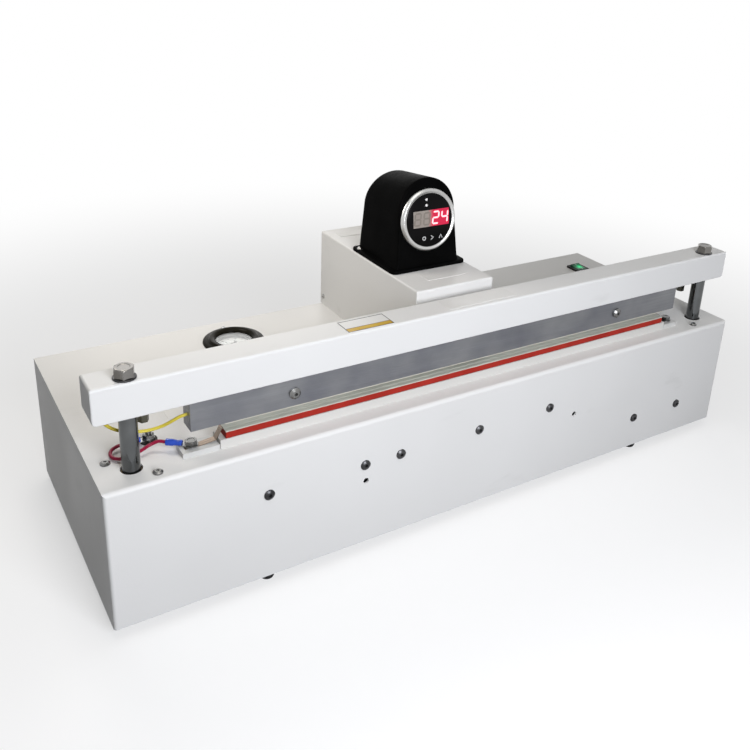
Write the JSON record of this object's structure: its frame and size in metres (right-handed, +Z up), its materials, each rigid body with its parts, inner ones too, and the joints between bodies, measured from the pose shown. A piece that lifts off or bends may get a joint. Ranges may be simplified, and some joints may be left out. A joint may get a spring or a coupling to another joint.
{
  "type": "impulse heat sealer",
  "caption": "Bench impulse sealer: long white sheet-metal cabinet, rod-guided press beam over a heated jaw, housing with round digital display, pressure gauge and rocker switch.",
  "frame": {"origin": "on the floor plane under the centre of the whole part's box", "axes": "+X to the operator's right along the jaws, +Y from the operator to the back, +Z up"},
  "size_m": [0.587, 0.2268, 0.2618],
  "materials": {
    "cabinet_cover": "semi-gloss white powder coat",
    "bottom_pan": "semi-gloss white powder coat",
    "rubber_feet": "moulded",
    "foot_screws": "zinc plated",
    "cover_screws": "button heads, dark nickel",
    "front_rail": "zinc plated",
    "lower_jaw_bar": "semi-gloss white powder coat",
    "lower_bar_screws": "zinc plated",
    "silicone_pad": "moulded silicone",
    "heating_ribbon": "bare resistance ribbon",
    "release_tape": "coated glass cloth",
    "element_end_blocks": "moulded white nylon",
    "terminal_screws": "nickel plated",
    "ring_terminals": "insulated sleeve, tinned ring",
    "element_lead": "silicone rubber sleeve",
    "feed_stud": "nickel plated",
    "feed_bush": "moulded nylon",
    "head_screws": "nickel plated",
    "cylinder_heads": "anodised",
    "rod_bushes": "sintered bronze",
    "cylinder_barrels": "clear anodised",
    "return_springs": "spring steel",
    "transformer_core": "varnished laminations",
    "transformer_coil": "taped winding",
    "solenoid_valve": "moulded coil on a metal body",
    "control_board": "glass-epoxy board",
    "air_fitting": "nickel plated",
    "power_inlet": "moulded",
    "fuse_holder": "moulded",
    "gauge_case": "satin black-brown",
    "gauge_bezel": "glossy black",
    "gauge_dial": "printed white dial",
    "gauge_lens": "clear",
    "gauge_screws": "nickel plated",
    "switch_body": "moulded",
    "display_housing": "semi-gloss white powder coat",
    "housing_brackets": "zinc plated",
    "housing_screws": "nickel plated",
    "pod_shell": "satin black moulding",
    "pod_screws": "polished",
    "controller_case": "moulded",
    "controller_bezel": "spun silver ring",
    "controller_face": "polished black window",
    "display_digits": "lit red segments",
    "panel_plates": "blank self-adhesive plates",
    "press_beam": "semi-gloss white powder coat",
    "beam_bolts": "stainless, domed hex heads",
    "beam_washers": "stainless",
    "lift_rods": "ground and hard chromed",
    "pistons": "moulded with a lip seal",
    "end_carriers": "milled",
    "carrier_bolts": "nickel plated",
    "upper_jaw_bar": "grey anodised",
    "jaw_screws": "polished button heads",
    "jaw_facing": "off-white silicone strip",
    "sensor_lead": "glass-sleeved wire",
    "beam_plates": "blank self-adhesive plates",
    "power_rocker": "lit green",
    "gauge_needle": "stamped pointer"
  },
  "bodies": {
    "cabinet": {"cabinet_cover": "cabinet_cover", "bottom_pan": "bottom_pan", "rubber_feet": "rubber_feet", "foot_screws": "foot_screws", "cover_screws": "cover_screws", "front_rail": "front_rail", "lower_jaw_bar": "lower_jaw_bar", "lower_bar_screws": "lower_bar_screws", "silicone_pad": "silicone_pad", "heating_ribbon": "heating_ribbon", "release_tape": "release_tape", "element_end_blocks": "element_end_blocks", "terminal_screws": "terminal_screws", "ring_terminals": "ring_terminals", "element_lead": "element_lead", "feed_stud": "feed_stud", "feed_bush": "feed_bush", "head_screws": "head_screws", "cylinder_heads": "cylinder_heads", "rod_bushes": "rod_bushes", "cylinder_barrels": "cylinder_barrels", "return_springs": "return_springs", "transformer_core": "transformer_core", "transformer_coil": "transformer_coil", "solenoid_valve": "solenoid_valve", "control_board": "control_board", "air_fitting": "air_fitting", "power_inlet": "power_inlet", "fuse_holder": "fuse_holder", "gauge_case": "gauge_case", "gauge_bezel": "gauge_bezel", "gauge_dial": "gauge_dial", "gauge_lens": "gauge_lens", "gauge_screws": "gauge_screws", "switch_body": "switch_body", "display_housing": "display_housing", "housing_brackets": "housing_brackets", "housing_screws": "housing_screws", "pod_shell": "pod_shell", "pod_screws": "pod_screws", "controller_case": "controller_case", "controller_bezel": "controller_bezel", "controller_face": "controller_face", "display_digits": "display_digits", "panel_plates": "panel_plates"},
    "press": {"press_beam": "press_beam", "beam_bolts": "beam_bolts", "beam_washers": "beam_washers", "lift_rods": "lift_rods", "pistons": "pistons", "end_carriers": "end_carriers", "carrier_bolts": "carrier_bolts", "upper_jaw_bar": "upper_jaw_bar", "jaw_screws": "jaw_screws", "jaw_facing": "jaw_facing", "sensor_lead": "sensor_lead", "beam_plates": "beam_plates"},
    "rocker": {"power_rocker": "power_rocker"},
    "needle": {"gauge_needle": "gauge_needle"}
  },
  "joints": [
    {"name": "press_stroke", "type": "slide", "parent": "cabinet", "child": "press", "axis": [0, 0, -1], "range_m": [0, 0.0043], "stiffness_N_per_m": 6000, "springref_m": -0.007, "deforming": ["return_springs"]},
    {"name": "power_switch", "type": "hinge", "parent": "cabinet", "child": "rocker", "pos_m": [0.258, 0.0582, 0.1129], "axis": [1, 0, 0], "range_deg": [-18, 0]},
    {"name": "gauge_pointer", "type": "hinge", "parent": "cabinet", "child": "needle", "pos_m": [-0.1405, 0.0559, 0.1085], "axis": [0, 0, -1], "range_deg": [0, 270]}
  ]
}
